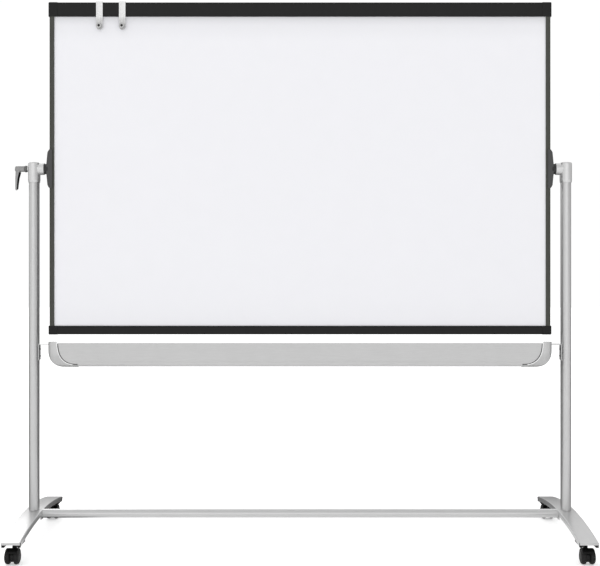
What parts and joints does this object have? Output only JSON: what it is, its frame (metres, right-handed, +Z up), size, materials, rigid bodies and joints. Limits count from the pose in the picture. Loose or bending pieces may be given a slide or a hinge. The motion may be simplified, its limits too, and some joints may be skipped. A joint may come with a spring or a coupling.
{
  "type": "rolling whiteboard",
  "caption": "Double-sided whiteboard that turns over between two posts on a castored stand, with a pen trough, a clamp lever and flip-chart hooks.",
  "frame": {"origin": "on the floor, under the middle of the whole object's box at rest", "axes": "+Z up, +X to the right along the board's width as seen from the front, and -Y the way the front writing face looks"},
  "size_m": [2.0484, 0.674, 1.9675],
  "materials": {
    "writing_face": "gloss",
    "core": "matte",
    "black_rail": "satin",
    "black_corner": "satin",
    "grey_rail": "satin",
    "dark_plastic": "satin",
    "silver_paint": "satin",
    "silver_casting": "satin",
    "grey_plastic": "satin",
    "tray_aluminium": "satin",
    "steel": "satin",
    "bush": "matte",
    "lever": "satin",
    "hook": "satin",
    "black_plastic": "satin",
    "tyre": "matte"
  },
  "bodies": {
    "stand": {"crossbar": "silver_paint", "tray_body": "tray_aluminium", "clamp_washer": "steel", "left_post": "silver_paint", "left_head": "silver_casting", "left_bush": "bush", "left_foot": "silver_paint", "left_tray_cap": "grey_plastic", "left_tray_bracket": "silver_paint", "left_upper_tray_screw": "steel", "left_lower_tray_screw": "steel", "front_left_foot_plug": "black_plastic", "rear_left_foot_plug": "black_plastic", "right_post": "silver_paint", "right_head": "silver_casting", "right_bush": "bush", "right_foot": "silver_paint", "right_tray_cap": "grey_plastic", "right_tray_bracket": "silver_paint", "right_upper_tray_screw": "steel", "right_lower_tray_screw": "steel", "front_right_foot_plug": "black_plastic", "rear_right_foot_plug": "black_plastic"},
    "board": {"honeycomb_core": "core", "front_writing_sheet": "writing_face", "rear_writing_sheet": "writing_face", "top_rail": "black_rail", "bottom_rail": "black_rail", "left_side_rail": "grey_rail", "right_side_rail": "grey_rail", "top_left_corner": "black_corner", "bottom_left_corner": "black_corner", "left_pivot_bracket": "dark_plastic", "left_pivot_shaft": "steel", "top_right_corner": "black_corner", "bottom_right_corner": "black_corner", "right_pivot_bracket": "dark_plastic", "right_pivot_shaft": "steel"},
    "clamp_screw": {"clamp_screw": "steel"},
    "clamp_lever": {"clamp_lever": "lever"},
    "left_hook": {"left_hook_strap": "hook", "left_hook_knob": "hook"},
    "front_left_caster": {"front_left_caster_body": "black_plastic"},
    "front_left_inner_wheel": {"front_left_inner_wheel": "tyre"},
    "front_left_outer_wheel": {"front_left_outer_wheel": "tyre"},
    "rear_left_caster": {"rear_left_caster_body": "black_plastic"},
    "rear_left_inner_wheel": {"rear_left_inner_wheel": "tyre"},
    "rear_left_outer_wheel": {"rear_left_outer_wheel": "tyre"},
    "right_hook": {"right_hook_strap": "hook", "right_hook_knob": "hook"},
    "front_right_caster": {"front_right_caster_body": "black_plastic"},
    "front_right_inner_wheel": {"front_right_inner_wheel": "tyre"},
    "front_right_outer_wheel": {"front_right_outer_wheel": "tyre"},
    "rear_right_caster": {"rear_right_caster_body": "black_plastic"},
    "rear_right_inner_wheel": {"rear_right_inner_wheel": "tyre"},
    "rear_right_outer_wheel": {"rear_right_outer_wheel": "tyre"}
  },
  "joints": [
    {"name": "board_flip", "type": "hinge", "parent": "stand", "child": "board", "pos_m": [0.0188, 0, 1.357], "axis": [1, 0, 0], "continuous": true},
    {"name": "clamp_turn", "type": "hinge", "parent": "stand", "child": "clamp_screw", "pos_m": [-0.9797, 0, 1.357], "axis": [-1, 0, 0], "range_deg": [0, 180]},
    {"name": "lever_lift", "type": "slide", "parent": "clamp_screw", "child": "clamp_lever", "axis": [-1, 0, 0], "range_m": [0, 0.004], "stiffness_N_per_m": 2000, "springref_m": -0.002},
    {"name": "left_hook_slide", "type": "slide", "parent": "board", "child": "left_hook", "axis": [1, 0, 0], "range_m": [-0.138, 0.025]},
    {"name": "front_left_swivel", "type": "hinge", "parent": "stand", "child": "front_left_caster", "pos_m": [-0.9547, -0.278, 0.0545], "axis": [0, 0, 1], "continuous": true},
    {"name": "front_left_inner_wheel_spin", "type": "hinge", "parent": "front_left_caster", "child": "front_left_inner_wheel", "pos_m": [-0.9547, -0.306, 0.025], "axis": [1, 0, 0], "continuous": true},
    {"name": "front_left_outer_wheel_spin", "type": "hinge", "parent": "front_left_caster", "child": "front_left_outer_wheel", "pos_m": [-0.9547, -0.306, 0.025], "axis": [1, 0, 0], "continuous": true},
    {"name": "rear_left_swivel", "type": "hinge", "parent": "stand", "child": "rear_left_caster", "pos_m": [-0.9547, 0.278, 0.0545], "axis": [0, 0, 1], "continuous": true},
    {"name": "rear_left_inner_wheel_spin", "type": "hinge", "parent": "rear_left_caster", "child": "rear_left_inner_wheel", "pos_m": [-0.9547, 0.306, 0.025], "axis": [1, 0, 0], "continuous": true},
    {"name": "rear_left_outer_wheel_spin", "type": "hinge", "parent": "rear_left_caster", "child": "rear_left_outer_wheel", "pos_m": [-0.9547, 0.306, 0.025], "axis": [1, 0, 0], "continuous": true},
    {"name": "right_hook_slide", "type": "slide", "parent": "board", "child": "right_hook", "axis": [1, 0, 0], "range_m": [-0.025, 1.518]},
    {"name": "front_right_swivel", "type": "hinge", "parent": "stand", "child": "front_right_caster", "pos_m": [0.9923, -0.278, 0.0545], "axis": [0, 0, 1], "continuous": true},
    {"name": "front_right_inner_wheel_spin", "type": "hinge", "parent": "front_right_caster", "child": "front_right_inner_wheel", "pos_m": [0.9923, -0.306, 0.025], "axis": [1, 0, 0], "continuous": true},
    {"name": "front_right_outer_wheel_spin", "type": "hinge", "parent": "front_right_caster", "child": "front_right_outer_wheel", "pos_m": [0.9923, -0.306, 0.025], "axis": [1, 0, 0], "continuous": true},
    {"name": "rear_right_swivel", "type": "hinge", "parent": "stand", "child": "rear_right_caster", "pos_m": [0.9923, 0.278, 0.0545], "axis": [0, 0, 1], "continuous": true},
    {"name": "rear_right_inner_wheel_spin", "type": "hinge", "parent": "rear_right_caster", "child": "rear_right_inner_wheel", "pos_m": [0.9923, 0.306, 0.025], "axis": [1, 0, 0], "continuous": true},
    {"name": "rear_right_outer_wheel_spin", "type": "hinge", "parent": "rear_right_caster", "child": "rear_right_outer_wheel", "pos_m": [0.9923, 0.306, 0.025], "axis": [1, 0, 0], "continuous": true}
  ]
}
